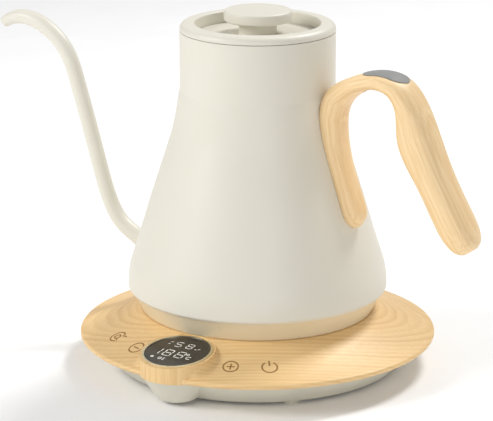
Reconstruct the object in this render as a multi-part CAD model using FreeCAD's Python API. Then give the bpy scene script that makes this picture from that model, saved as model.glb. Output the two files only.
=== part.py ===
"""Electric gooseneck kettle on its heating base, one solid or group of solids per piece.

Frame: millimetres, +Z up. The origin is where the kettle's turning axis meets the
table. The handle points to +X, the spout to -X and the display pod to -Y.
"""
import FreeCAD
import Part
import math
import os

Vector = FreeCAD.Vector

# ---------------------------------------------------------------- driving dimensions (mm)
# Base
base_radius = 100.0            # edge of the wooden top cover
base_lip_bottom = 16.0         # underside of the cover's edge
base_lip_thickness = 3.2
base_seat_height = 31.7        # flat on which the kettle stands
base_seat_radius = 66.0        # where the flat turns into the sloping brim
brim_hollow = 1.05             # how far the brim's middle lies below a straight line
cover_wall = 3.0
shell_bottom = 1.5             # height of the lower shell's underside
shell_bottom_radius = base_radius - 22.0
shell_top_radius = base_radius - 7.5
shell_wall = 2.0
shell_corner = 4.0
foot_radius = 4.8
foot_circle = shell_bottom_radius - 3.0
foot_recess = 1.0
drain_radius = 4.0
gland_height = 9.2
gland_radius = 4.6
gland_bore = 3.2

# Display pod
pod_radius = 20.8
pod_circle = base_radius - 17.0        # distance of the pod's axis from the turning axis
pod_top = 27.8                 # height of the middle of the pod's tilted top
pod_tilt = 8.2                 # degrees, leaning outwards
window_radius = pod_radius - 2.7
window_thickness = 1.8
bezel_width = 1.1
bezel_stand = 0.5
display_gap = 0.3
display_board_gap = 1.0        # round the display's board

# Touch keys: angle from the pod's direction, in degrees
key_angles = (-35.2, -20.8, 20.8, 35.2)
key_circle = base_radius - 15.6
key_spring_radius = 3.6
key_spring_wire = 0.8          # thickness of the spring's wall

# Cordless connector in the base
post_radius = 12.9
post_top = 38.5
well_radius = post_radius + 8.1
well_wall = 2.0
well_floor = 16.0
well_flange = 2.5
well_flange_height = 1.3
slot_radii = (7.55, 10.75)     # middle of the two ring slots
slot_width = 1.9
slot_floor = 26.0
pin_hole = 2.7
pin_hole_floor = 20.0
post_chamfer = 1.2
contact_height = 1.0           # of the base's ring contacts
pin_contact_height = 2.0
well_drain_radius = 1.5

# Kettle's own socket
socket_clearance = 0.6
socket_wall = 2.5
socket_bottom = 24.0
socket_top = 43.4
socket_roof = 2.2
socket_flange_radius = post_radius + 11.1
socket_flange_bottom = 38.0
socket_flange_thickness = 2.0
contact_width = 0.7
centre_pin_radius = 1.8
contact_tip_gap = 0.8
turn_clearance = 0.4

# Kettle body
foot_ring_bottom = base_seat_height
foot_ring_wall = 3.2
foot_ring_chamfer = 0.8
cover_ledge = 1.5              # step in the foot ring that carries the bottom cover
cover_gap = 0.2                # between the bottom cover's edge and the foot ring
body_bottom = 43.0
body_radius = 72.6
foot_ring_radius = body_radius - 7.2
foot_ring_top_radius = body_radius - 2.3
body_corner = 2.2
neck_radius = 42.95
neck_bottom = 170.0
neck_top = 189.5
body_wall = 1.2
body_lip = body_radius - 5.6   # inner radius of the turned-in lower lip
# Share of the height and share of the flare, from the foot to the neck
flare_shape = ((0.0, 1.0), (0.07, 0.98), (0.167, 0.865), (0.399, 0.565), (0.639, 0.24),
               (0.76, 0.102), (0.88, 0.018), (1.0, 0.0))

# Rim and lid
rim_seam = 0.4
rim_height = 4.0
rim_round = 3.6
mouth_radius = 34.6
mouth_round = 0.8
ledge_radius = mouth_radius - 3.2
ledge_thickness = 1.5
lid_depth = 6.4                # from the rim down to the top of the lid plate
lid_plate_thickness = 1.9
lid_gap = 0.4
rim_skirt = 2.1
rim_skirt_depth = 11.5
knob_radius = 18.7
knob_top = neck_top + 11.3
knob_thickness = 6.0
knob_round = 1.3
stem_radius = 10.4
pan_gap = 1.8
pan_depth = 9.0
pan_wall = 0.8

# Heater
plate_thickness = 2.2
element_radius = 3.2
element_span = 300.0
cutout_circle = socket_flange_radius + 12.5
element_circle = cutout_circle + 9.5
cutout_radius = 6.0
cutout_height = 6.0
cutout_angles = (115.0, 245.0)
element_pin_radius = 1.2
element_pin_gap = 0.6          # the pins end above the bottom cover
probe_tail = 5.0               # how far the probe reaches below the plate
probe_flange = 2.5
probe_flange_height = 2.0
probe_seal_width = 2.0
probe_seal_height = 1.5
probe_radius = 3.0
probe_height = 8.0
cover_plate_thickness = 2.0
cover_seat = 2.5               # height of the bottom cover above the foot ring's underside
stud_circle = foot_ring_radius - 9.4
stud_radius = 3.2

# Spout: centre line in the X-Z plane and tube radius there, from the body outwards
spout_line = (
    (-62.0, 51.2, 6.6), (-72.0, 54.8, 5.9), (-84.0, 60.8, 4.75), (-93.3, 67.6, 4.55), (-99.8, 78.0, 4.5),
    (-104.3, 90.0, 4.5), (-111.3, 113.0, 4.5), (-118.4, 136.0, 4.5), (-122.6, 149.0, 4.5), (-128.0, 161.5, 4.5),
    (-136.3, 171.0, 4.5), (-147.2, 177.6, 4.5), (-158.8, 179.9, 4.3), (-166.5, 178.6, 3.8), (-172.6, 175.2, 3.2))
spout_wall = 0.9

# Handle: centre line in the X-Z plane, half thickness and half width there
handle_line = (
    (64.3, 86.8, 1.6, 1.8), (63.5, 88.6, 4.0, 5.2), (62.4, 92.4, 5.9, 8.0), (60.3, 98.5, 6.2, 9.0),
    (57.0, 108.0, 5.8, 9.1), (53.0, 120.0, 5.8, 9.3), (49.6, 134.0, 6.3, 9.6), (48.4, 147.5, 7.2, 9.9),
    (51.6, 157.6, 7.0, 10.4), (62.0, 165.8, 5.2, 11.0), (76.5, 170.3, 4.8, 11.5), (88.6, 167.2, 5.8, 11.8),
    (96.0, 156.8, 7.8, 12.0), (100.3, 141.8, 11.0, 12.2), (110.2, 121.5, 9.8, 12.3), (121.0, 102.2, 9.6, 12.2),
    (127.6, 91.6, 9.1, 11.4), (131.2, 86.4, 7.2, 9.0), (133.2, 83.6, 3.0, 3.8))
section_squareness = 2.3       # 2 is an ellipse
section_points = 16
pad_start = 67.0
pad_end = 93.5
pad_half_width = 7.4
pad_thickness = 1.6
pad_stand = 0.35
handle_screw_heights = (112.0, 140.0)
screw_radius = 1.9
screw_head = 4.0
screw_head_height = 1.6
screw_tip_gap = 1.0            # a screw's tip stops short of the end of its hole
screw_clearance = 0.3
insert_radius = 3.0
insert_length = 4.0

# Fasteners in the base and bottom
base_screw_circle = base_seat_radius
base_screw_angles = (60.0, 120.0, 240.0, 300.0)
boss_radius = 4.0
small_screw = 1.5
small_head = 3.0
small_head_height = 1.5
small_screw_play = 0.1         # round a small screw in a clearance hole

# Circuit boards, display and touch boards, cord gland, seals and lid fittings
board_thickness = 1.6
pod_shell_step = 0.6           # the lower shell's bulge is inside the pod by this much
pod_flat_radius = 7.5            # flat bottom of that bulge
pod_shell_corner = 6.0
window_ledge = 1.2
base_screw_head = 1.4
gland_start = base_radius - 26.0       # inner end of the cord gland, from the turning axis
gland_length = 21.0
gland_flange = 1.0               # its inner flange stands out by this much
gland_flange_thickness = 2.0
display_module_width = 26.0
display_module_depth = 18.0
display_module_height = 4.0
key_board_inwards = 6.5          # a touch board's reach each way from the key circle
key_board_outwards = 1.8
key_board_bottom = 12.5
key_board_start = 15.5
key_board_end = 42.0
upstand_wall = 5.0               # wall round the socket's flange, and the ring screwed on it
retainer_thickness = 1.5
retainer_screw_head = 2.3
retainer_head_height = 1.0
pad_prism_bottom = 163.0
seal_thickness = 1.6
seal_margin = 0.8              # the washers stand out from under the screw heads
lid_screw_length = 8.0           # of its hole in the knob
spacer_wall = 1.6
lid_edge_chamfer = 0.4
pan_corner = 2.0
seal_lip = 0.6
seal_height = 2.4

# Power board in the base, and what stands on it: name, place from its middle, size
board_middle = Vector(0, 44, 0)
board_length = 66.0
board_width = 34.0
board_bottom = 7.0
board_post_inset = 4.0
board_post_radius = 3.0
board_parts = (("relay", -20, 0, 19, 15.5, 15.3), ("transformer", 2, 2, 16, 14, 14))
# Round parts on it: name, place from its middle, radius, height
board_drums = (("smoothing_capacitor", 18, 6, 5, 15), ("buzzer", 22, -8, 6, 8))


# ---------------------------------------------------------------- helpers
def at(r, z):
    """Point of an outline in the X-Z half plane."""
    return Vector(r, 0, z)


def polar(radius, angle, z=0.0):
    """Point at a radius, turned by an angle from the pod's direction (-Y) towards +X."""
    turn = math.radians(angle)
    return Vector(radius * math.sin(turn), -radius * math.cos(turn), z)


def bend(centre_r, centre_z, radius, start, stop):
    """Middle and end of an arc of an outline, from the angle start to stop, in degrees."""
    middle = math.radians((start + stop) / 2)
    end = math.radians(stop)
    return (centre_r + radius * math.cos(middle), centre_z + radius * math.sin(middle),
            centre_r + radius * math.cos(end), centre_z + radius * math.sin(end))


def outline_edges(corners):
    """Edges through corners (r, z); a corner of four numbers is an arc's middle and end."""
    edges = []
    here = at(*corners[0])
    for corner in corners[1:]:
        end = at(*corner[-2:])
        if len(corner) == 4:
            edges.append(Part.Arc(here, at(*corner[:2]), end).toShape())
        else:
            edges.append(Part.LineSegment(here, end).toShape())
        here = end
    return edges


def revolved(edges):
    """Solid turned about the Z axis from the closed loop of edges."""
    wire = Part.Wire(Part.__sortEdges__(edges))
    return Part.Face(wire).revolve(Vector(), Vector(0, 0, 1), 360)


def turned(*corners):
    """Solid turned about the Z axis from its outline's corners."""
    return revolved(outline_edges(list(corners) + [corners[0][:2]]))


def ring(inner, outer, bottom, top):
    """Plain ring about the Z axis."""
    return turned((inner, bottom), (outer, bottom), (outer, top), (inner, top))


def rod(radius, bottom, top, place=Vector()):
    """Upright cylinder between two heights."""
    return Part.makeCylinder(radius, top - bottom, Vector(place.x, place.y, bottom))


def block(length, width, height, centre, bottom):
    """Upright block centred on a point."""
    corner = Vector(centre.x - length / 2, centre.y - width / 2, bottom)
    return Part.makeBox(length, width, height, corner)


def joined(solids):
    """One solid from several that meet."""
    return solids[0].multiFuse(solids[1:]).removeSplitter()


def group(solids):
    """Separate solids kept in one node."""
    return Part.makeCompound(solids)


def screw(place, head_bottom, tip, head_height):
    """Small screw with its head down at head_bottom and its shank up to tip."""
    return joined([rod(small_head, head_bottom, head_bottom + head_height, place),
                   rod(small_screw, head_bottom, tip, place)])


def export(node, shape):
    """Write one node's STEP file."""
    shape.exportStep(os.path.join("parts", node + ".step"))


# ---------------------------------------------------------------- base
def brim_height(radius):
    """Height of the brim's hollow top line at a radius."""
    start = at(base_seat_radius, base_seat_height)
    end = at(base_radius - base_lip_thickness / 2, base_lip_bottom + base_lip_thickness)
    middle = (start + end) / 2 - Vector(0, 0, brim_hollow)
    arc = Part.Arc(start, middle, end).toShape().Curve
    reach = arc.Radius ** 2 - (radius - arc.Center.x) ** 2
    return arc.Center.z - math.sqrt(reach)


def brim_corner(outer, drop):
    """Arc of an outline along the brim, from the seat out to a radius, lowered by drop."""
    middle = (base_seat_radius + outer) / 2
    return (middle, brim_height(middle) - drop, outer, brim_height(outer) - drop)


def cover_outer():
    """Full outer form of the wooden cover, before it is hollowed."""
    lip = base_lip_thickness / 2
    edge_middle = base_radius - lip
    return turned((0, base_lip_bottom), (0, base_seat_height), (base_seat_radius, base_seat_height),
                  brim_corner(edge_middle, 0),
                  bend(edge_middle, base_lip_bottom + lip, lip, 90, -90))


def cover_hollow():
    """Space under the cover, parallel to its top."""
    inner = shell_top_radius - shell_wall
    under = base_seat_height - cover_wall
    return turned((0, 0), (0, under), (base_seat_radius, under), brim_corner(inner, cover_wall), (inner, 0))


def pod_frame(drop=0.0):
    """Placement on the pod's tilted top, lowered along its normal."""
    tilt = FreeCAD.Rotation(Vector(1, 0, 0), pod_tilt)
    centre = Vector(0, -pod_circle, pod_top) - tilt.multVec(Vector(0, 0, drop))
    return FreeCAD.Placement(centre, tilt)


def pod_disc(radius, drop, thickness, inner=0.0):
    """Disc or ring in the pod, from drop below its top down by thickness."""
    disc = Part.makeCylinder(radius, thickness)
    if inner:
        disc = disc.cut(Part.makeCylinder(inner, thickness))
    disc.Placement = pod_frame(drop + thickness)
    return disc


def pod_block(radius, bottom, drop=0.0):
    """Upright pod cylinder, cut off by the tilted top lowered by drop."""
    tall = rod(radius, bottom, pod_top + pod_radius, Vector(0, -pod_circle, 0))
    side = 4 * pod_radius
    above = Part.makeBox(side, side, side, Vector(-side / 2, -side / 2, 0))
    above.Placement = pod_frame(drop)
    return tall.cut(above)


def base_top_cover():
    """Wooden cover: brimmed disc with the display pod standing out of it."""
    rebate = window_radius + bezel_width
    outer = joined([cover_outer(), pod_block(pod_radius, base_lip_bottom)])
    hollow = joined([cover_hollow(), pod_block(window_radius - window_ledge, 0)])
    cover = outer.cut(hollow)
    cover = cover.cut(pod_disc(rebate, -pod_radius, pod_radius + window_thickness))
    cover = cover.cut(rod(well_radius + well_wall, 0, base_seat_height + 1))
    bosses = []
    for angle in base_screw_angles:
        place = polar(base_screw_circle, angle)
        boss = rod(boss_radius, shell_bottom + shell_wall, base_seat_height - cover_wall, place)
        bosses.append(boss.cut(rod(small_screw, 0, base_lip_bottom, place)))
    return joined([cover] + bosses)


def bowl(top_radius, flat_radius, bottom, corner, place=Vector()):
    """Shallow bowl with a rounded bottom corner, closed at the cover's edge height."""
    rise = base_lip_bottom - bottom - corner
    reach = math.hypot(top_radius - flat_radius, rise)
    tangent = math.atan2(rise, top_radius - flat_radius) - math.acos(corner / reach)
    solid = turned((0, bottom), (flat_radius, bottom),
                   bend(flat_radius, bottom + corner, corner, -90, math.degrees(tangent)),
                   (top_radius, base_lip_bottom), (0, base_lip_bottom))
    solid.translate(place)
    return solid


def base_lower_shell():
    """Plastic pan under the cover, with a bulge under the pod."""
    pod = Vector(0, -pod_circle, 0)
    outer = joined([bowl(shell_top_radius, shell_bottom_radius, shell_bottom, shell_corner),
                    bowl(pod_radius - pod_shell_step, pod_flat_radius, shell_bottom, pod_shell_corner, pod)])
    floor = shell_bottom + shell_wall
    inner = joined([bowl(shell_top_radius - shell_wall, shell_bottom_radius, floor, shell_corner - shell_wall),
                    bowl(pod_radius - pod_shell_step - shell_wall, pod_flat_radius, floor,
                         pod_shell_corner - shell_wall, pod)])
    shell = outer.cut(inner)
    shell = shell.cut(rod(drain_radius, 0, floor + 1))
    for angle in base_screw_angles:
        place = polar(base_screw_circle, angle)
        shell = shell.cut(rod(small_screw + screw_clearance, 0, floor + 1, place))
    for place in foot_places():
        shell = shell.cut(rod(foot_radius, 0, shell_bottom + foot_recess, place))
    for place in board_posts():
        shell = shell.fuse(rod(board_post_radius, floor, board_bottom, place))
    return shell.cut(gland_body(screw_clearance)).removeSplitter()


def foot_places():
    """Centres of the four feet, on the diagonals."""
    return [polar(foot_circle, 45 + 90 * quarter) for quarter in range(4)]


def base_feet():
    """Four rubber pads seated in the lower shell."""
    return group([rod(foot_radius, 0, shell_bottom + foot_recess, place) for place in foot_places()])


def base_screws():
    """Screws that hold the lower shell to the cover's bosses."""
    tip = base_lip_bottom - 2 * screw_tip_gap
    return group([screw(polar(base_screw_circle, angle), shell_bottom - base_screw_head, tip,
                        head_height=base_screw_head) for angle in base_screw_angles])


def gland_body(grow=0.0):
    """Outer form of the cord inlet in the back wall of the lower shell."""
    return Part.makeCylinder(gland_radius + grow, gland_length, Vector(0, gland_start, gland_height),
                             Vector(0, 1, 0))


def cord_gland():
    """Rubber bush with a flange inside the wall, open for a cord."""
    bush = gland_body()
    inner_flange = Part.makeCylinder(gland_radius + gland_flange, gland_flange_thickness,
                                     Vector(0, gland_start, gland_height), Vector(0, 1, 0))
    bore = Part.makeCylinder(gland_bore, 2 * gland_length, Vector(0, gland_start - gland_length / 2, gland_height),
                             Vector(0, 1, 0))
    return joined([bush, inner_flange]).cut(bore)


def display_bezel():
    """Thin brass ring round the window."""
    return pod_disc(window_radius + bezel_width, -bezel_stand, bezel_stand + window_thickness, window_radius)


def display_window():
    """Dark glass disc of the display."""
    return pod_disc(window_radius, 0, window_thickness)


def display_board():
    """Round circuit board under the display module."""
    top = window_thickness + display_gap + display_module_height
    return pod_disc(window_radius - window_ledge - display_board_gap, top, board_thickness)


def display_module():
    """Block of the digit display between the board and the window."""
    module = Part.makeBox(display_module_width, display_module_depth, display_module_height,
                          Vector(-display_module_width / 2, -display_module_depth / 2, 0))
    module.Placement = pod_frame(window_thickness + display_gap + display_module_height)
    return module


def touch_boards():
    """Two curved circuit boards under the touch keys, one on each side of the pod."""
    full = ring(key_circle - key_board_inwards, key_circle + key_board_outwards,
                key_board_bottom, key_board_bottom + board_thickness)
    boards = []
    for side in (-1, 1):
        start = min(side * key_board_start, side * key_board_end)
        sector = Part.makeCylinder(2 * base_radius, base_seat_height, Vector(), Vector(0, 0, 1),
                                   key_board_end - key_board_start)
        sector.rotate(Vector(), Vector(0, 0, 1), start - 90)
        boards.append(full.common(sector))
    return group(boards)


def touch_springs():
    """Hollow spring contacts between the touch boards and the underside of the cover."""
    bottom = key_board_bottom + board_thickness
    springs = []
    for angle in key_angles:
        place = polar(key_circle, angle)
        top = brim_height(key_circle + key_spring_radius) - cover_wall - display_gap
        springs.append(rod(key_spring_radius, bottom, top, place).cut(rod(key_spring_radius - key_spring_wire, bottom, top, place)))
    return group(springs)


def board_posts():
    """Centres of the posts under the power board."""
    along = board_length / 2 - board_post_inset
    across = board_width / 2 - board_post_inset
    return [Vector(board_middle.x + along * i, board_middle.y + across * j, 0) for i in (-1, 1) for j in (-1, 1)]


def power_board():
    """Main circuit board behind the connector."""
    return block(board_length, board_width, board_thickness, board_middle, board_bottom)


def on_board(x, y):
    """Point on the power board, from its middle."""
    return Vector(board_middle.x + x, board_middle.y + y, 0)


def base_connector():
    """Plastic well with the contact post in its middle."""
    flange = well_radius + well_wall + well_flange
    top = base_seat_height + well_flange_height
    well = turned((0, well_floor), (well_radius + well_wall, well_floor), (well_radius + well_wall, base_seat_height),
                  (flange, base_seat_height), (flange, top), (well_radius, top),
                  (well_radius, well_floor + well_wall), (post_radius, well_floor + well_wall),
                  (post_radius, post_top - post_chamfer), (post_radius - post_chamfer, post_top), (0, post_top))
    well = well.cut(rod(pin_hole, pin_hole_floor, post_top + 1))
    for radius in slot_radii:
        well = well.cut(ring(radius - slot_width / 2, radius + slot_width / 2, slot_floor, post_top + 1))
    return well.cut(rod(well_drain_radius, 0, base_seat_height, polar((post_radius + well_radius) / 2, 180)))


def base_contacts():
    """Brass contacts at the bottom of the post's centre hole and ring slots."""
    contacts = [rod(pin_hole, pin_hole_floor, pin_hole_floor + pin_contact_height)]
    for radius in slot_radii:
        contacts.append(ring(radius - slot_width / 2, radius + slot_width / 2, slot_floor, slot_floor + contact_height))
    return group(contacts)


# ---------------------------------------------------------------- kettle's socket
def connector_socket():
    """Round socket that drops over the post; its flange turns in the kettle's bottom."""
    bore = post_radius + socket_clearance
    skirt = bore + socket_wall
    flange_top = socket_flange_bottom + socket_flange_thickness
    roof = socket_top - socket_roof
    return turned((0, roof), (bore, roof), (bore, socket_bottom), (skirt, socket_bottom),
                  (skirt, socket_flange_bottom), (socket_flange_radius, socket_flange_bottom),
                  (socket_flange_radius, flange_top), (skirt, flange_top), (skirt, socket_top), (0, socket_top))


def socket_contacts():
    """Brass centre pin and two ring blades hanging from the socket's roof."""
    roof = socket_top - socket_roof
    contacts = [rod(centre_pin_radius, pin_hole_floor + pin_contact_height + contact_tip_gap, roof)]
    for radius in slot_radii:
        contacts.append(ring(radius - contact_width / 2, radius + contact_width / 2,
                             slot_floor + contact_height + contact_tip_gap, roof))
    return group(contacts)


# ---------------------------------------------------------------- kettle body
def flare_edge(inset):
    """Curved flank of the body, moved inwards by inset."""
    start = body_bottom + body_corner
    points = []
    for share, flare in flare_shape:
        height = start + share * (neck_bottom - start)
        points.append(at(neck_radius + flare * (body_radius - neck_radius) - inset, height))
    curve = Part.BSplineCurve()
    curve.interpolate(Points=points, InitialTangent=Vector(0, 0, 1), FinalTangent=Vector(0, 0, 1))
    return curve.toShape()


def flank_radius(height):
    """Outer radius of the body's flank at a height."""
    curve = flare_edge(0).Curve
    cut = curve.intersectCC(Part.LineSegment(at(0, height), at(2 * body_radius, height)))
    return cut[0].X


def vessel(inset):
    """Closed solid inside the body's outer form, moved inwards by inset."""
    start = body_bottom + body_corner
    edges = [flare_edge(inset)]
    edges += outline_edges([(neck_radius - inset, neck_bottom), (neck_radius - inset, neck_top), (0, neck_top),
                            (0, start), (body_radius - inset, start)])
    return revolved(edges)


def spout_sections(wall):
    """Circles across the spout's centre line, smaller than the tube by wall."""
    points = [at(x, z) for x, z, radius in spout_line]
    path = Part.BSplineCurve()
    path.interpolate(points)
    wires = []
    for point, (x, z, radius) in zip(points, spout_line):
        direction = path.tangent(path.parameter(point))[0]
        circle = Part.Circle(point, direction, radius - wall)
        wires.append(Part.Wire(circle.toShape()))
    return wires


def spout_form(wall):
    """Solid along the spout, smaller than the tube by wall."""
    return Part.makeLoft(spout_sections(wall), True, False)


def spout():
    """Gooseneck tube, fitted to the body's flank."""
    tube = spout_form(0).cut(vessel(0))
    return largest(tube.cut(spout_form(spout_wall)))


def largest(shape):
    """Biggest solid of a shape."""
    return max(shape.Solids, key=lambda solid: solid.Volume)


def flank_inside(height):
    """Point on the inside of the body's flank, on the handle's side."""
    return Vector(flank_radius(height) - body_wall, 0, height)


def body_shell():
    """Body wall with its turned-in lower lip, before any hole."""
    start = body_bottom + body_corner
    inner = body_radius - body_wall
    lip_top = body_bottom + body_wall
    edges = [flare_edge(0), flare_edge(body_wall)]
    edges += outline_edges([(inner, start), (inner, lip_top), (body_lip, lip_top), (body_lip, body_bottom),
                            (body_radius - body_corner, body_bottom),
                            bend(body_radius - body_corner, start, body_corner, -90, 0)])
    edges += outline_edges([(neck_radius, neck_bottom), (neck_radius, neck_top),
                            (neck_radius - body_wall, neck_top), (neck_radius - body_wall, neck_bottom)])
    return revolved(edges)


def kettle_body():
    """Painted steel wall of the kettle."""
    shell = body_shell().cut(spout_form(spout_wall))
    for height in handle_screw_heights:
        hole = Part.makeCylinder(screw_radius + screw_clearance, 6 * body_wall,
                                 flank_inside(height) - Vector(3 * body_wall, 0, 0), Vector(1, 0, 0))
        shell = shell.cut(hole)
    return largest(shell)


def base_ring():
    """Ring under the body, on which the kettle stands."""
    low = foot_ring_bottom
    inner_top = foot_ring_top_radius - foot_ring_wall
    inner_low = foot_ring_radius - foot_ring_wall
    seat = low + cover_seat
    return turned((foot_ring_radius - foot_ring_chamfer, low), (foot_ring_radius, low + foot_ring_chamfer),
                  (foot_ring_top_radius, body_bottom), (inner_top, body_bottom), (inner_low + cover_ledge, seat),
                  (inner_low, seat), (inner_low, low))


def rim_collar():
    """Rounded rim with the recess and the ledge that holds the lid."""
    top = neck_top + rim_seam + rim_height
    outer = neck_radius
    skirt = neck_radius - body_wall
    ledge_top = top - lid_depth - lid_plate_thickness
    seat = neck_top + rim_seam
    return turned((outer, seat), (outer, top - rim_round), bend(outer - rim_round, top - rim_round, rim_round, 0, 90),
                  (mouth_radius + mouth_round, top), bend(mouth_radius + mouth_round, top - mouth_round, mouth_round, 90, 180),
                  (mouth_radius, ledge_top), (ledge_radius, ledge_top), (ledge_radius, ledge_top - ledge_thickness),
                  (skirt - rim_skirt, ledge_top - ledge_thickness), (skirt - rim_skirt, neck_top - rim_skirt_depth),
                  (skirt, neck_top - rim_skirt_depth), (skirt, seat))


# ---------------------------------------------------------------- heater and bottom
def plate_bottom():
    """Height of the heater plate's underside."""
    return body_bottom + body_wall


def stud_places():
    """Centres of the three studs under the heater plate."""
    return [polar(stud_circle, 30 + 120 * third) for third in range(3)]


def heater_plate():
    """Steel floor of the kettle, with the studs that carry the bottom cover."""
    low = plate_bottom()
    plate = rod(body_radius - body_wall, low, low + plate_thickness)
    plate = plate.common(joined([vessel(body_wall), rod(body_radius - body_wall, low, body_bottom + body_corner)]))
    plate = plate.cut(rod(probe_radius, 0, low + plate_thickness + 1, polar(cutout_circle, 0)))
    studs = []
    for place in stud_places():
        stud = rod(stud_radius, cover_plate_top(), low, place)
        studs.append(stud.cut(rod(small_screw, 0, low - 1, place)))
    return joined([plate] + studs)


def cover_plate_top():
    """Height of the top of the bottom cover's plate."""
    return foot_ring_bottom + cover_seat + cover_plate_thickness


def heating_element():
    """Sheathed element under the plate, nearly a full circle, with its two cold pins."""
    centre = plate_bottom() - element_radius
    start = 180 - element_span / 2
    circle = Part.Face(Part.Wire(Part.Circle(at(element_circle, centre), Vector(0, 1, 0), element_radius).toShape()))
    torus = circle.revolve(Vector(), Vector(0, 0, 1), element_span)
    torus.rotate(Vector(), Vector(0, 0, 1), start - 90)
    pins = []
    for angle in (start, start + element_span):
        pins.append(rod(element_pin_radius, cover_plate_top() + element_pin_gap, centre,
                        polar(element_circle, angle)))
    return joined([torus] + pins)


def thermal_cutouts():
    """Two round safety switches pressed on the underside of the plate."""
    low = plate_bottom() - cutout_height
    return group([rod(cutout_radius, low, plate_bottom(), polar(cutout_circle, angle)) for angle in cutout_angles])


def temperature_probe():
    """Sensor capsule through the plate, with its flange below."""
    low = plate_bottom()
    place = polar(cutout_circle, 0)
    tip = low + plate_thickness + probe_height
    capsule = rod(probe_radius, low - probe_tail, tip - probe_radius, place)
    dome = Part.makeSphere(probe_radius, Vector(place.x, place.y, tip - probe_radius))
    flange = rod(probe_radius + probe_flange, low - probe_flange_height, low, place)
    return joined([capsule, dome, flange])


def probe_seal():
    """Silicone ring round the capsule on the wet side of the plate."""
    low = plate_bottom() + plate_thickness
    place = polar(cutout_circle, 0)
    top = low + probe_seal_height
    return rod(probe_radius + probe_seal_width, low, top, place).cut(rod(probe_radius, low, top, place))


def upstand_radii():
    """Inner and outer radius of the bottom cover's wall round the socket's flange."""
    inner = socket_flange_radius + turn_clearance
    return inner, inner + upstand_wall


def bottom_cover():
    """Plastic cover that closes the heater space and carries the socket."""
    bottom = foot_ring_bottom + cover_seat
    hole = post_radius + socket_clearance + socket_wall + turn_clearance
    inner, outer = upstand_radii()
    flange_rest = socket_flange_bottom - turn_clearance
    upstand_top = socket_flange_bottom + socket_flange_thickness + turn_clearance
    edge = foot_ring_radius - foot_ring_wall + cover_ledge - cover_gap
    cover = turned((hole, bottom), (edge, bottom), (edge, cover_plate_top()), (outer, cover_plate_top()),
                   (outer, upstand_top), (inner, upstand_top), (inner, flange_rest), (hole, flange_rest))
    for place in stud_places():
        cover = cover.cut(rod(small_screw + screw_clearance, 0, body_bottom, place))
    for place in retainer_places():
        cover = cover.cut(rod(small_screw, cover_plate_top(), body_bottom, place))
    return cover


def bottom_cover_screws():
    """Screws through the bottom cover into the studs."""
    bottom = foot_ring_bottom + cover_seat
    return group([screw(place, bottom - small_head_height, body_bottom - screw_tip_gap,
                        head_height=small_head_height) for place in stud_places()])


def retainer_places():
    """Centres of the screws that hold the socket's retaining ring."""
    inner, outer = upstand_radii()
    return [polar((inner + outer) / 2, 60 + 120 * third) for third in range(3)]


def retainer_top():
    """Height of the top of the retaining ring."""
    return socket_flange_bottom + socket_flange_thickness + turn_clearance + retainer_thickness


def socket_retainer():
    """Ring over the socket's flange, so that the socket turns but can't drop out."""
    inner, outer = upstand_radii()
    bottom = socket_flange_bottom + socket_flange_thickness + turn_clearance
    hole = post_radius + socket_clearance + socket_wall + turn_clearance
    plate = ring(hole, outer, bottom, retainer_top())
    for place in retainer_places():
        plate = plate.cut(rod(small_screw + small_screw_play, 0, retainer_top() + 1, place))
    return plate


def retainer_screws():
    """Screws down into the upstand."""
    top = retainer_top()
    return group([joined([rod(small_screw, cover_plate_top(), top, place),
                          rod(retainer_screw_head, top, top + retainer_head_height, place)])
                  for place in retainer_places()])


# ---------------------------------------------------------------- handle
def handle_section(point, direction, thickness, width):
    """Closed rounded section across the handle's centre line."""
    across = Vector(0, 1, 0)
    outward = across.cross(direction)
    power = 2 / section_squareness
    points = []
    for step in range(section_points):
        turn = 2 * math.pi * step / section_points
        a = math.copysign(abs(math.cos(turn)) ** power, math.cos(turn)) * thickness
        b = math.copysign(abs(math.sin(turn)) ** power, math.sin(turn)) * width
        points.append(point + outward * a + across * b)
    curve = Part.BSplineCurve()
    curve.interpolate(Points=points, PeriodicFlag=True)
    return Part.Wire(curve.toShape())


def crook(grow=0.0):
    """Whole crook of the handle, thicker all round by grow."""
    points = [at(x, z) for x, z, thickness, width in handle_line]
    path = Part.BSplineCurve()
    path.interpolate(points)
    wires = []
    for point, (x, z, thickness, width) in zip(points, handle_line):
        direction = path.tangent(path.parameter(point))[0]
        wires.append(handle_section(point, direction, thickness + grow, width + grow))
    return Part.makeLoft(wires, True, False)


def pad_prism():
    """Upright rounded slab that cuts the thumb pad out of the arch."""
    length = pad_end - pad_start
    low = pad_prism_bottom
    height = 2 * base_radius
    parts = [Part.makeBox(length - 2 * pad_half_width, 2 * pad_half_width, height,
                          Vector(pad_start + pad_half_width, -pad_half_width, low))]
    for x in (pad_start + pad_half_width, pad_end - pad_half_width):
        parts.append(Part.makeCylinder(pad_half_width, height, Vector(x, 0, low)))
    return joined(parts)


def handle_pad():
    """Soft thumb pad let into the top of the arch."""
    return largest(crook(pad_stand).common(pad_prism()).cut(crook(-pad_thickness)))


def handle():
    """Wooden crook, hollowed to the body's flank, with its pad pocket and screw holes."""
    wood = crook().cut(vessel(0))
    wood = wood.cut(crook().common(pad_prism()).cut(crook(-pad_thickness)))
    for height in handle_screw_heights:
        start = flank_inside(height)
        wood = wood.cut(Part.makeCylinder(insert_radius, insert_length + 2 * body_wall, start, Vector(1, 0, 0)))
    return largest(wood)


def handle_inserts():
    """Brass threaded inserts in the wood."""
    inserts = []
    for height in handle_screw_heights:
        start = Vector(flank_radius(height) + body_wall, 0, height)
        body = Part.makeCylinder(insert_radius, insert_length, start, Vector(1, 0, 0))
        inserts.append(body.cut(Part.makeCylinder(screw_radius, insert_length, start, Vector(1, 0, 0))))
    return group(inserts)


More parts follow.
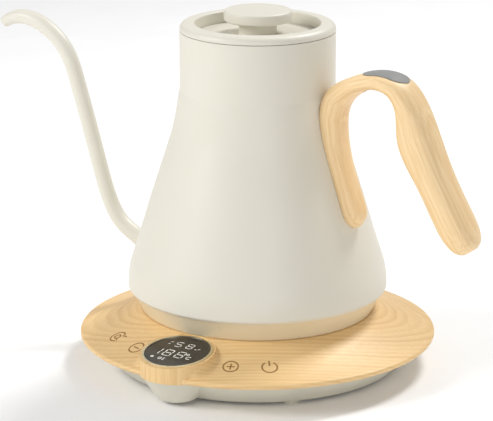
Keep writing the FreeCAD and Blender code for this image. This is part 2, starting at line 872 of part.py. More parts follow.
def handle_seals():
    """Silicone washers between the screw heads and the inside of the body."""
    seals = []
    for height in handle_screw_heights:
        start = flank_inside(height) - Vector(seal_thickness, 0, 0)
        disc = Part.makeCylinder(screw_head + seal_margin, 2 * seal_thickness, start, Vector(1, 0, 0))
        disc = disc.cut(Part.makeCylinder(screw_radius, 2 * seal_thickness, start, Vector(1, 0, 0)))
        seals.append(disc.common(vessel(body_wall)))
    return group(seals)


def handle_screws():
    """Screws from inside the body into the handle's inserts."""
    screws = []
    for height in handle_screw_heights:
        start = flank_inside(height) - Vector(seal_thickness, 0, 0)
        reach = seal_thickness + 2 * body_wall + insert_length - screw_tip_gap
        head = Part.makeCylinder(screw_head, screw_head_height, start - Vector(screw_head_height, 0, 0),
                                 Vector(1, 0, 0))
        shank = Part.makeCylinder(screw_radius, reach, start, Vector(1, 0, 0))
        screws.append(joined([head, shank]))
    return group(screws)


# ---------------------------------------------------------------- lid
def rim_top():
    """Height of the kettle's rim."""
    return neck_top + rim_seam + rim_height


def lid_plate_top():
    """Height of the top of the lid plate."""
    return rim_top() - lid_depth


def lid_plate():
    """Painted plate sunk in the rim."""
    top = lid_plate_top()
    bottom = top - lid_plate_thickness
    edge = mouth_radius - lid_gap
    plate = turned((0, bottom), (edge, bottom), (edge, top - lid_edge_chamfer), (edge - lid_edge_chamfer, top),
                   (0, top))
    return plate.cut(rod(small_screw + small_screw_play, bottom - 1, top + 1))


def lid_knob():
    """Flat round knob on a short stem."""
    bottom = knob_top - knob_thickness
    edge = knob_radius - knob_round
    low = bottom + knob_round
    high = knob_top - knob_round
    knob = turned((0, lid_plate_top()), (stem_radius, lid_plate_top()), (stem_radius, bottom), (edge, bottom),
                  bend(edge, low, knob_round, -90, 0), (knob_radius, high), bend(edge, high, knob_round, 0, 90),
                  (0, knob_top))
    return knob.cut(rod(small_screw, lid_plate_top() - 1, lid_plate_top() + lid_screw_length))


def lid_inner_pan():
    """Steel cup under the lid plate."""
    top = lid_plate_top() - lid_plate_thickness
    outer = ledge_radius - pan_gap
    bottom = top - pan_depth
    inner_corner = pan_corner + pan_wall / 2
    pan = turned((0, bottom), (outer - pan_corner, bottom), (outer, bottom + pan_corner), (outer, top),
                 (outer - pan_wall, top), (outer - pan_wall, bottom + inner_corner),
                 (outer - inner_corner, bottom + pan_wall), (0, bottom + pan_wall))
    return pan.cut(rod(small_screw + small_screw_play, bottom - 1, bottom + pan_corner))


def lid_seal():
    """Silicone ring round the pan, inside the rim's ledge."""
    top = lid_plate_top() - lid_plate_thickness
    inner = ledge_radius - pan_gap
    outer = ledge_radius - lid_gap
    return turned((inner, top), (outer - seal_lip, top), (outer, top - seal_height / 2),
                  (outer - seal_lip, top - seal_height), (inner, top - seal_height))


def lid_screw():
    """Screw that holds pan, plate and knob together, with its spacer tube."""
    pan_floor = lid_plate_top() - lid_plate_thickness - pan_depth
    inside = pan_floor + pan_wall
    tip = lid_plate_top() + lid_screw_length - screw_tip_gap
    spacer = rod(small_screw + spacer_wall, inside, lid_plate_top() - lid_plate_thickness)
    return joined([screw(Vector(), pan_floor - small_head_height, tip, head_height=small_head_height), spacer])


# ---------------------------------------------------------------- write every node
def main():
    """Build each piece and write it to its own file."""
    os.makedirs("parts", exist_ok=True)
    pieces = (
        base_top_cover, base_lower_shell, base_feet, base_screws, cord_gland, display_bezel, display_window,
        display_module, display_board, touch_boards, touch_springs, power_board, base_connector, base_contacts,
        connector_socket, socket_contacts, kettle_body, spout, rim_collar, base_ring, heater_plate,
        heating_element, thermal_cutouts, temperature_probe, probe_seal, bottom_cover, bottom_cover_screws,
        socket_retainer, retainer_screws, handle, handle_pad, handle_inserts, handle_seals, handle_screws,
        lid_plate, lid_knob, lid_inner_pan, lid_seal, lid_screw)
    for piece in pieces:
        export(piece.__name__, piece())
    for node, x, y, length, width, height in board_parts:
        part = block(length, width, height, on_board(x, y), board_bottom + board_thickness)
        export(node, part)
    for node, x, y, radius, height in board_drums:
        low = board_bottom + board_thickness
        export(node, rod(radius, low, low + height, on_board(x, y)))


main()
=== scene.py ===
"""Looks of an electric gooseneck kettle on its heating base.

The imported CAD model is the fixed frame. Each sub-assembly is a class that dresses its CAD
nodes and adds the fine pieces on them. All lengths are metres in the model's own frame,
unless a name ends in _mm.
"""
import logging
import math
from dataclasses import dataclass, field
from enum import Enum
from typing import Any, Callable, Sequence

import bmesh
import bpy
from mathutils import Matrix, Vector
from mathutils.bvhtree import BVHTree


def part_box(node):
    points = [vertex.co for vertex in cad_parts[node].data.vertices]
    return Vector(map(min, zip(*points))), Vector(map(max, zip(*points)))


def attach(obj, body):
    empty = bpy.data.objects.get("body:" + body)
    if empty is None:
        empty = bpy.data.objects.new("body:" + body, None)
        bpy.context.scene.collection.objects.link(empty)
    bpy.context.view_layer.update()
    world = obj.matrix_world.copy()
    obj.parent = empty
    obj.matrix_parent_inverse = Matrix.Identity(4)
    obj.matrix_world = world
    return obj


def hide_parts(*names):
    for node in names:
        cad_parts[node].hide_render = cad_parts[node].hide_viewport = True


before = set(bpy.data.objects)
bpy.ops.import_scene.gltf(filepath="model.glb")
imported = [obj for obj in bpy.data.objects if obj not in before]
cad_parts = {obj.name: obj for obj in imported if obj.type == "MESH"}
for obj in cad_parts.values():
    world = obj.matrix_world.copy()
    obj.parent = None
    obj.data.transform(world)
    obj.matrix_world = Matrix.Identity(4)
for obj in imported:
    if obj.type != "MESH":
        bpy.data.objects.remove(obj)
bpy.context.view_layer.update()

MM = 0.001

logging.basicConfig(level=logging.INFO, format="%(name)s: %(message)s")
LOG = logging.getLogger("kettle")

Socket = bpy.types.NodeSocket
Tree = bpy.types.NodeTree


# ---------------------------------------------------------------- colour and node helpers
def linear(code: str) -> tuple[float, float, float, float]:
    """Turn an sRGB hex colour to linear.

    Args:
        code: the colour as six hex digits.

    Returns:
        Linear red, green and blue, and full opacity.
    """
    channels = []
    for start in (0, 2, 4):
        value = int(code[start:start + 2], 16) / 255
        channels.append(value / 12.92 if value <= 0.04045 else ((value + 0.055) / 1.055) ** 2.4)
    return (channels[0], channels[1], channels[2], 1.0)


def add_node(tree: Tree, kind: str, settings: dict[str, Any] | None = None,
             inputs: dict[Any, Any] | None = None) -> bpy.types.Node:
    """Add one shader node with its settings, values and links.

    Args:
        tree: the material's node tree.
        kind: the node's type name.
        settings: attributes of the node.
        inputs: values, or output sockets to link, by the input's name or number.

    Returns:
        The new node.
    """
    node = tree.nodes.new(kind)
    for name, value in (settings or {}).items():
        setattr(node, name, value)
    for key, value in (inputs or {}).items():
        if isinstance(value, Socket):
            tree.links.new(value, node.inputs[key])
        else:
            node.inputs[key].default_value = value
    return node


def calculate(tree: Tree, operation: str, *values: Any) -> Socket:
    """Result of one maths operation on numbers or sockets."""
    return add_node(tree, "ShaderNodeMath", {"operation": operation}, dict(enumerate(values))).outputs[0]


def blend_colours(tree: Tree, share: Any, first: Any, second: Any, mode: str = "MIX") -> Socket:
    """Colour between two colours by a share."""
    node = add_node(tree, "ShaderNodeMix", {"data_type": "RGBA", "blend_type": mode},
                    {0: share, 6: first, 7: second})
    return node.outputs[2]


def soft_steps(tree: Tree, value: Any, low: float, high: float,
               to_low: float = 0.0, to_high: float = 1.0) -> Socket:
    """Value mapped from one range to another, clamped."""
    node = add_node(tree, "ShaderNodeMapRange", {"interpolation_type": "SMOOTHSTEP"},
                    {0: value, 1: low, 2: high, 3: to_low, 4: to_high})
    return node.outputs[0]


def noise(tree: Tree, place: Any, grain_mm: float, detail: float = 2.0, roughness: float = 0.5) -> Socket:
    """Noise whose blobs are about grain_mm across at the place given in metres."""
    node = add_node(tree, "ShaderNodeTexNoise", {},
                    {"Vector": place, "Scale": 1 / (grain_mm * MM), "Detail": detail, "Roughness": roughness})
    return node.outputs[0]


def stretched(tree: Tree, place: Any, scale: Sequence[float], turn: Sequence[float] = (0, 0, 0)) -> Socket:
    """Place turned, in radians, then scaled on each axis."""
    turned = add_node(tree, "ShaderNodeMapping", {}, {"Vector": place, "Rotation": turn})
    return add_node(tree, "ShaderNodeMapping", {}, {"Vector": turned.outputs[0], "Scale": scale}).outputs[0]


def bump(tree: Tree, height: Socket, depth_mm: float, strength: float = 1.0) -> Socket:
    """Surface direction roughened by a height of depth_mm."""
    node = add_node(tree, "ShaderNodeBump", {},
                    {"Height": height, "Distance": depth_mm * MM, "Strength": strength})
    return node.outputs[0]


def new_material(name: str, **inputs: Any) -> tuple[bpy.types.Material, Tree, bpy.types.Node]:
    """Empty material with one principled shader.

    Args:
        name: the finish's name.
        inputs: values of the shader's sockets, with spaces in names written as underscores.

    Returns:
        The material, its tree and its shader.
    """
    material = bpy.data.materials.new(name)
    material.use_nodes = True
    tree = material.node_tree
    tree.nodes.clear()
    values = {key.replace("_", " "): value for key, value in inputs.items()}
    shader = add_node(tree, "ShaderNodeBsdfPrincipled", {}, values)
    add_node(tree, "ShaderNodeOutputMaterial", {}, {"Surface": shader.outputs[0]})
    return material, tree, shader


def object_place(tree: Tree) -> Socket:
    """Position in the model's frame, which travels with the piece."""
    return add_node(tree, "ShaderNodeTexCoord").outputs["Object"]


# ---------------------------------------------------------------- finishes
@dataclass(frozen=True)
class PowderCoat:
    """Cream satin powder coat on steel: a fine orange peel that spreads highlights."""

    name: str = "cream_powder_coat"
    colour: str = "dedacd"
    shade: str = "ddd9cb"
    peel_mm: float = 1.1
    cloud_mm: float = 34.0
    roughness: float = 0.42

    def make(self) -> bpy.types.Material:
        """Build the material.

        Returns:
            The new material.
        """
        material, tree, shader = new_material(self.name, Roughness=self.roughness, IOR=1.5)
        place = object_place(tree)
        cloud = noise(tree, place, self.cloud_mm, 3)
        clouding = soft_steps(tree, cloud, 0.3, 0.7)
        colour = blend_colours(tree, clouding, linear(self.colour), linear(self.shade))
        peel = noise(tree, place, self.peel_mm, 2)
        tree.links.new(colour, shader.inputs["Base Color"])
        patches = noise(tree, place, 6.0, 2)
        spread = soft_steps(tree, patches, 0.2, 0.8, self.roughness - 0.03, self.roughness + 0.04)
        tree.links.new(spread, shader.inputs["Roughness"])
        tree.links.new(bump(tree, peel, 0.012), shader.inputs["Normal"])
        return material


class GrainLayout(Enum):
    """How the boards were cut for a wooden piece."""

    TURNED = "turned"      # a flat board turned to a dish: rings close round its two ends
    UPRIGHT = "upright"    # a thin veneer with its grain standing up
    BENT = "bent"          # grain that follows the bend, from the piece's own grain coordinate


@dataclass(frozen=True)
class PaleAsh:
    """Lacquered pale ash: soft growth rings, fine fibres and short open pores."""

    name: str
    layout: GrainLayout
    early: str = "efcd95"
    late: str = "cfa062"
    fibre: str = "e0b97c"
    ring_mm: float = 2.3
    board_turn: float = 31.5       # degrees from +X to the grain
    heart_height_mm: float = 150.0   # the tree's heart lies this far over the board
    roughness: float = 0.46
    contrast: float = 1.0

    def place(self, tree: Tree) -> Socket:
        """Coordinate in metres with its X along the grain.

        Args:
            tree: the material's node tree.

        Returns:
            The coordinate's socket.
        """
        if self.layout is GrainLayout.BENT:
            return add_node(tree, "ShaderNodeAttribute", {"attribute_name": "grain"}).outputs["Vector"]
        turn = (0, 0, -math.radians(self.board_turn))
        if self.layout is GrainLayout.UPRIGHT:
            turn = (0, math.radians(90), 0)
        place = {"Vector": object_place(tree), "Rotation": turn}
        return add_node(tree, "ShaderNodeMapping", {}, place).outputs[0]

    def make(self) -> bpy.types.Material:
        """Build the material.

        Returns:
            The new material.
        """
        material, tree, shader = new_material(self.name, Roughness=self.roughness, IOR=1.48,
                                              Coat_Weight=0.12, Coat_Roughness=0.3)
        along = self.place(tree)
        waver = noise(tree, stretched(tree, along, (0.25, 1, 1)), 38.0, 2)
        ripple = noise(tree, stretched(tree, along, (0.12, 1, 1)), 7.0, 3)
        lift = add_node(tree, "ShaderNodeVectorMath", {"operation": "MULTIPLY_ADD"},
                        {0: along, 1: (0, 1, -1), 2: (0, 0, self.heart_height_mm * MM)})
        radius = add_node(tree, "ShaderNodeVectorMath", {"operation": "LENGTH"}, {0: lift.outputs[0]})
        rings = calculate(tree, "DIVIDE", radius.outputs["Value"], self.ring_mm * MM)
        rings = calculate(tree, "MULTIPLY_ADD", waver, 1.3, rings)
        rings = calculate(tree, "MULTIPLY_ADD", ripple, 0.3, rings)
        phase = calculate(tree, "FRACT", rings)
        rise = soft_steps(tree, phase, 0.15, 0.86)
        fall = soft_steps(tree, phase, 0.86, 1.0, 1.0, 0.0)
        late = calculate(tree, "MULTIPLY", rise, fall)
        year = add_node(tree, "ShaderNodeTexWhiteNoise", {"noise_dimensions": "1D"},
                        {"W": calculate(tree, "FLOOR", rings)}).outputs[0]
        strength = calculate(tree, "MULTIPLY_ADD", year, 0.5 * self.contrast, 0.25 * self.contrast)
        late = calculate(tree, "MULTIPLY", late, strength)
        fine = noise(tree, stretched(tree, along, (0.035, 1, 1)), 0.9, 3, 0.6)
        pores = noise(tree, stretched(tree, along, (0.06, 1, 1)), 0.55, 1)
        pores = soft_steps(tree, pores, 0.66, 0.78)
        colour = blend_colours(tree, late, linear(self.early), linear(self.late))
        fibre_share = soft_steps(tree, fine, 0.35, 0.75, 0.0, 0.55)
        colour = blend_colours(tree, fibre_share, colour, linear(self.fibre))
        pore_share = calculate(tree, "MULTIPLY", pores, calculate(tree, "MULTIPLY_ADD", late, 0.5, 0.12))
        colour = blend_colours(tree, pore_share, colour, linear(self.late), "MULTIPLY")
        tree.links.new(colour, shader.inputs["Base Color"])
        tree.links.new(soft_steps(tree, fine, 0.3, 0.8, self.roughness - 0.05, self.roughness + 0.08),
                       shader.inputs["Roughness"])
        height = calculate(tree, "MULTIPLY_ADD", pores, -0.6, calculate(tree, "MULTIPLY", fine, 0.5))
        tree.links.new(bump(tree, height, 0.03), shader.inputs["Normal"])
        return material


@dataclass(frozen=True)
class MouldedPlastic:
    """Moulded plastic: one colour through, with the mould's spark-eroded texture."""

    name: str
    colour: str
    roughness: float = 0.5
    texture_mm: float = 0.6
    depth_mm: float = 0.02
    specular: float = 0.5

    def make(self) -> bpy.types.Material:
        """Build the material.

        Returns:
            The new material.
        """
        material, tree, shader = new_material(self.name, Roughness=self.roughness, IOR=1.49,
                                              Specular_IOR_Level=self.specular)
        place = object_place(tree)
        base = linear(self.colour)
        darker = tuple(channel * 0.93 for channel in base[:3]) + (1.0,)
        colour = blend_colours(tree, soft_steps(tree, noise(tree, place, 18.0, 3), 0.3, 0.7), base, darker)
        grit = noise(tree, place, self.texture_mm, 2)
        tree.links.new(colour, shader.inputs["Base Color"])
        tree.links.new(soft_steps(tree, grit, 0.2, 0.8, self.roughness - 0.05, self.roughness + 0.06),
                       shader.inputs["Roughness"])
        tree.links.new(bump(tree, grit, self.depth_mm), shader.inputs["Normal"])
        return material


@dataclass(frozen=True)
class Rubber:
    """Soft silicone or rubber: matt, with a dusty sheen and a very fine grain."""

    name: str
    colour: str
    roughness: float = 0.7
    sheen: float = 0.15

    def make(self) -> bpy.types.Material:
        """Build the material.

        Returns:
            The new material.
        """
        material, tree, shader = new_material(self.name, Roughness=self.roughness, IOR=1.42,
                                              Sheen_Weight=self.sheen)
        place = object_place(tree)
        base = linear(self.colour)
        paler = tuple(min(1.0, channel * 1.12) for channel in base[:3]) + (1.0,)
        dust = noise(tree, place, 5.0, 4, 0.6)
        colour = blend_colours(tree, soft_steps(tree, dust, 0.4, 0.75), base, paler)
        tree.links.new(colour, shader.inputs["Base Color"])
        tree.links.new(bump(tree, noise(tree, place, 0.5, 2), 0.02), shader.inputs["Normal"])
        return material


class MetalWork(Enum):
    """How a metal surface was finished."""

    POLISHED = "polished"    # buffed: faint wipe marks only
    TURNED = "turned"        # lathe or spin brushing round the Z axis
    STAMPED = "stamped"      # as it left the press: small even grain


@dataclass(frozen=True)
class Metal:
    """Bare metal with the marks of how it was finished."""

    name: str
    colour: str
    work: MetalWork
    roughness: float
    mark_mm: float = 0.5
    depth_mm: float = 0.004

    def marks(self, tree: Tree) -> Socket:
        """Height of the working marks.

        Args:
            tree: the material's node tree.

        Returns:
            The height's socket.
        """
        place = object_place(tree)
        if self.work is MetalWork.TURNED:
            split = add_node(tree, "ShaderNodeSeparateXYZ", {}, {0: place})
            flat = add_node(tree, "ShaderNodeCombineXYZ", {}, {0: split.outputs[0], 1: split.outputs[1]})
            radius = add_node(tree, "ShaderNodeVectorMath", {"operation": "LENGTH"}, {0: flat.outputs[0]})
            line = add_node(tree, "ShaderNodeCombineXYZ", {},
                            {0: radius.outputs["Value"], 1: split.outputs[2]})
            return noise(tree, line.outputs[0], self.mark_mm, 3, 0.7)
        if self.work is MetalWork.POLISHED:
            return noise(tree, stretched(tree, place, (1, 1, 0.2)), 9.0, 3)
        return noise(tree, place, self.mark_mm, 2)

    def make(self) -> bpy.types.Material:
        """Build the material.

        Returns:
            The new material.
        """
        material, tree, shader = new_material(self.name, Metallic=1.0, Roughness=self.roughness,
                                              Base_Color=linear(self.colour))
        marks = self.marks(tree)
        spread = soft_steps(tree, marks, 0.25, 0.75, self.roughness * 0.85, self.roughness * 1.25)
        tree.links.new(spread, shader.inputs["Roughness"])
        tree.links.new(bump(tree, marks, self.depth_mm), shader.inputs["Normal"])
        return material


@dataclass(frozen=True)
class SmokedGlass:
    """Smoked cover glass: nearly black, glossy, with a haze of fine dust."""

    name: str = "smoked_glass"
    colour: str = "2b2824"
    haze: str = "3b3833"
    roughness: float = 0.2

    def make(self) -> bpy.types.Material:
        """Build the material.

        Returns:
            The new material.
        """
        material, tree, shader = new_material(self.name, Roughness=self.roughness, IOR=1.52)
        haze = noise(tree, object_place(tree), 7.0, 4)
        colour = blend_colours(tree, soft_steps(tree, haze, 0.3, 0.8), linear(self.colour), linear(self.haze))
        tree.links.new(colour, shader.inputs["Base Color"])
        tree.links.new(soft_steps(tree, haze, 0.3, 0.8, self.roughness, self.roughness + 0.06),
                       shader.inputs["Roughness"])
        return material


@dataclass(frozen=True)
class LitSegment:
    """White light-emitting diode behind its diffuser: flat white with a slightly uneven glow."""

    name: str = "led_white"
    colour: str = "f4f1ea"
    power: float = 0.4

    def make(self) -> bpy.types.Material:
        """Build the material.

        Returns:
            The new material.
        """
        material, tree, shader = new_material(self.name, Roughness=0.5, Emission_Strength=self.power,
                                              Emission_Color=linear(self.colour))
        glow = noise(tree, object_place(tree), 2.0, 1)
        colour = blend_colours(tree, soft_steps(tree, glow, 0.2, 0.9), linear(self.colour), linear("bdb9b0"))
        tree.links.new(colour, shader.inputs["Base Color"])
        return material


@dataclass(frozen=True)
class BurntLine:
    """Line burnt into wood by a laser: brown, matt, slightly uneven."""

    name: str = "laser_burnt_line"
    colour: str = "a27c45"
    deep: str = "8b6533"

    def make(self) -> bpy.types.Material:
        """Build the material.

        Returns:
            The new material.
        """
        material, tree, shader = new_material(self.name, Roughness=0.7, IOR=1.45)
        char = noise(tree, object_place(tree), 0.8, 3)
        colour = blend_colours(tree, soft_steps(tree, char, 0.3, 0.7), linear(self.colour), linear(self.deep))
        tree.links.new(colour, shader.inputs["Base Color"])
        tree.links.new(bump(tree, char, 0.02), shader.inputs["Normal"])
        return material


@dataclass(frozen=True)
class CircuitBoard:
    """Glass-fibre board under green solder mask, with tinned tracks showing through."""

    name: str = "circuit_board"
    mask: str = "1d5a33"
    track: str = "3f8a56"
    pitch_mm: float = 2.54

    def make(self) -> bpy.types.Material:
        """Build the material.

        Returns:
            The new material.
        """
        material, tree, shader = new_material(self.name, Roughness=0.35, IOR=1.55)
        place = object_place(tree)
        cells = add_node(tree, "ShaderNodeTexBrick", {"offset": 0.5},
                         {"Vector": place, "Scale": 1 / (self.pitch_mm * MM), "Color1": linear(self.mask),
                          "Color2": linear("226339"), "Mortar": linear(self.track), "Mortar Size": 0.06})
        tree.links.new(cells.outputs[0], shader.inputs["Base Color"])
        tree.links.new(bump(tree, cells.outputs[1], 0.03), shader.inputs["Normal"])
        return material


class Finishes:
    """Every finish of the object, each made once when first asked for."""

    RECIPES: dict[str, Any] = {
        "cream_enamel": PowderCoat(),
        "base_wood": PaleAsh("ash_turned_board", GrainLayout.TURNED, contrast=0.72),
        "pod_wood": PaleAsh("ash_pod_veneer", GrainLayout.UPRIGHT, ring_mm=3.5, contrast=0.6),
        "handle_wood": PaleAsh("ash_bent_handle", GrainLayout.BENT, early="f6d9aa", late="d3a366",
                               ring_mm=2.6, contrast=0.4, heart_height_mm=30.0),
        "cream_plastic": MouldedPlastic("cream_abs", "dedacb"),
        "grey_pad": Rubber("grey_silicone_pad", "828381", 0.6),
        "ring_lacquer": PowderCoat("champagne_lacquer", "e4d6b8", "e0d1b1", 0.8, 30.0, 0.3),
        "spun_steel": Metal("spun_steel_inside", "c2c0bb", MetalWork.TURNED, 0.32, 0.35, 0.006),
        "screw_steel": Metal("stamped_steel", "a9a9aa", MetalWork.STAMPED, 0.35),
        "black_rubber": Rubber("black_rubber", "1b1b1b", 0.75),
        "foot_rubber": Rubber("cream_rubber", "c9c5b6", 0.7),
        "clear_silicone": Rubber("white_silicone", "d8d7d0", 0.45),
        "bezel_brass": Metal("pale_satin_brass", "f4ecd0", MetalWork.POLISHED, 0.3),
        "display_glass": SmokedGlass(),
        "component_black": MouldedPlastic("black_epoxy_case", "1d1d1f", 0.45, 0.4),
        "circuit_board": CircuitBoard(),
        "dark_plastic": MouldedPlastic("black_glass_filled_nylon", "222222", 0.55, 0.5),
        "contact_brass": Metal("stamped_brass", "c9a35a", MetalWork.STAMPED, 0.28),
        "led": LitSegment(),
        "burnt_line": BurntLine(),
    }

    def __init__(self) -> None:
        """Start with nothing made."""
        self.made: dict[str, bpy.types.Material] = {}

    def get(self, name: str) -> bpy.types.Material:
        """Material of a finish by its name."""
        if name not in self.made:
            self.made[name] = self.RECIPES[name].make()
        return self.made[name]


FINISHES = Finishes()


# ---------------------------------------------------------------- mesh helpers
def new_piece(name: str, body: str, finish: str,
              builder: Callable[[bmesh.types.BMesh], None], smooth: bool = True) -> bpy.types.Object:
    """Make a piece from mesh code and let it ride on its body.

    Args:
        name: the piece's name.
        body: the CAD body that it moves with.
        finish: the finish's name.
        builder: fills the empty mesh.
        smooth: whether its faces are shaded smooth, with sharp edges kept.

    Returns:
        The new object.
    """
    mesh = bpy.data.meshes.new(name)
    shape = bmesh.new()
    builder(shape)
    bmesh.ops.recalc_face_normals(shape, faces=shape.faces)
    shape.to_mesh(mesh)
    shape.free()
    piece = bpy.data.objects.new(name, mesh)
    bpy.context.scene.collection.objects.link(piece)
    mesh.materials.append(FINISHES.get(finish))
    if smooth:
        shade(mesh)
    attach(piece, body)
    LOG.info("%s rides on %s, %d faces", name, body, len(mesh.polygons))
    return piece


def shade(mesh: bpy.types.Mesh, angle: float = 32.0) -> None:
    """Shade a mesh smooth and keep the edges sharper than an angle in degrees."""
    for face in mesh.polygons:
        face.use_smooth = True
    mesh.set_sharp_from_angle(angle=math.radians(angle))


def dress(node: str, finish: str) -> None:
    """Give a CAD node one finish and smooth shading.

    Args:
        node: the CAD node.
        finish: the finish's name.
    """
    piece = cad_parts[node]
    piece.data.materials.clear()
    piece.data.materials.append(FINISHES.get(finish))
    for face in piece.data.polygons:
        face.material_index = 0
    shade(piece.data)
    LOG.info("%s is dressed in %s", node, finish)


def dress_faces(node: str, finish: str, chosen: Callable[[Vector, Vector], bool]) -> None:
    """Give some faces of a dressed node another finish.

    Args:
        node: the CAD node.
        finish: the finish's name.
        chosen: says from a face's centre and normal whether it takes the finish.
    """
    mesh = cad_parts[node].data
    mesh.materials.append(FINISHES.get(finish))
    number = len(mesh.materials) - 1
    for face in mesh.polygons:
        if chosen(face.center, face.normal):
            face.material_index = number


def loft(shape: bmesh.types.BMesh, rows: Sequence[Sequence[Vector]], closed_ends: bool = False) -> None:
    """Faces between neighbouring loops of points.

    Args:
        shape: the mesh to add to.
        rows: loops of points, all of one length.
        closed_ends: whether the last loop joins the first.
    """
    grid = [[shape.verts.new(point) for point in row] for row in rows]
    if closed_ends:
        grid.append(grid[0])
    for near, far in zip(grid, grid[1:]):
        count = len(near)
        for step in range(count):
            after = (step + 1) % count
            shape.faces.new((near[step], near[after], far[after], far[step]))


def arc_points(radius: float, start: float, stop: float, steps: int) -> list[tuple[float, float]]:
    """Points of a flat arc between two angles in degrees."""
    angles = [math.radians(start + (stop - start) * step / steps) for step in range(steps + 1)]
    return [(radius * math.cos(angle), radius * math.sin(angle)) for angle in angles]


# ---------------------------------------------------------------- lines drawn on a surface
Surface = Callable[[float, float], tuple[Vector, Vector]]


@dataclass
class Stroke:
    """Line of a drawn sign, in millimetres on its own flat, before it is laid on a surface."""

    points: list[tuple[float, float]]
    width: float
    closed: bool = False

    def sides(self) -> list[tuple[Vector, Vector]]:
        """Left and right edge at each point, mitred at the corners.

        Returns:
            A pair of edge points for each point of the stroke.
        """
        places = [Vector(point) for point in self.points]
        count = len(places)
        edges = []
        for step, here in enumerate(places):
            before = places[step - 1] if step or self.closed else None
            after = places[(step + 1) % count] if step + 1 < count or self.closed else None
            runs = [(here - before).normalized()] if before is not None else []
            runs += [(after - here).normalized()] if after is not None else []
            run = sum(runs, Vector((0, 0))).normalized()
            normal = Vector((-run.y, run.x))
            reach = self.width / 2 / max(0.4, abs(normal.dot(Vector((-runs[0].y, runs[0].x)))))
            edges.append((here + normal * reach, here - normal * reach))
        return edges

    def lay(self, shape: bmesh.types.BMesh, surface: Surface, rise_mm: float, sink_mm: float) -> None:
        """Add the stroke to a mesh as a thin raised ribbon that follows a surface.

        Args:
            shape: the mesh to add to.
            surface: gives the place and the normal for a point of the flat.
            rise_mm: how far the ribbon's top stands above the surface.
            sink_mm: how far its sides reach under the surface.
        """
        rows = []
        for left, right in self.sides():
            row = []
            for side, lift in ((left, rise_mm), (right, rise_mm), (right, -sink_mm), (left, -sink_mm)):
                place, normal = surface(side.x, side.y)
                row.append(place + normal * lift * MM)
            rows.append(row)
        loft(shape, rows, self.closed)
        if not self.closed:
            shape.verts.ensure_lookup_table()
            for row in (rows[0], rows[-1]):
                shape.faces.new([shape.verts.new(point) for point in row])


def circle_stroke(radius: float, width: float, centre: tuple[float, float] = (0.0, 0.0),
                  start: float = 0.0, stop: float = 360.0) -> Stroke:
    """Ring or arc as one stroke, in millimetres on its flat.

    Args:
        radius: the middle line's radius.
        width: the line's width.
        centre: the ring's middle.
        start: where the arc begins, in degrees from the flat's right.
        stop: where it ends.

    Returns:
        The stroke, closed when it goes all the way round.
    """
    closed = stop - start >= 360
    steps = max(8, int((stop - start) / 9))
    points = [(x + centre[0], y + centre[1]) for x, y in arc_points(radius, start, stop, steps)]
    return Stroke(points[:-1] if closed else points, width, closed)


def cut_line(start: tuple[float, float], stop: tuple[float, float], width: float, pieces: int = 6) -> Stroke:
    """Straight stroke cut into short lengths, so that it can follow a curved surface."""
    first, last = Vector(start), Vector(stop)
    return Stroke([tuple(first.lerp(last, step / pieces)) for step in range(pieces + 1)], width)


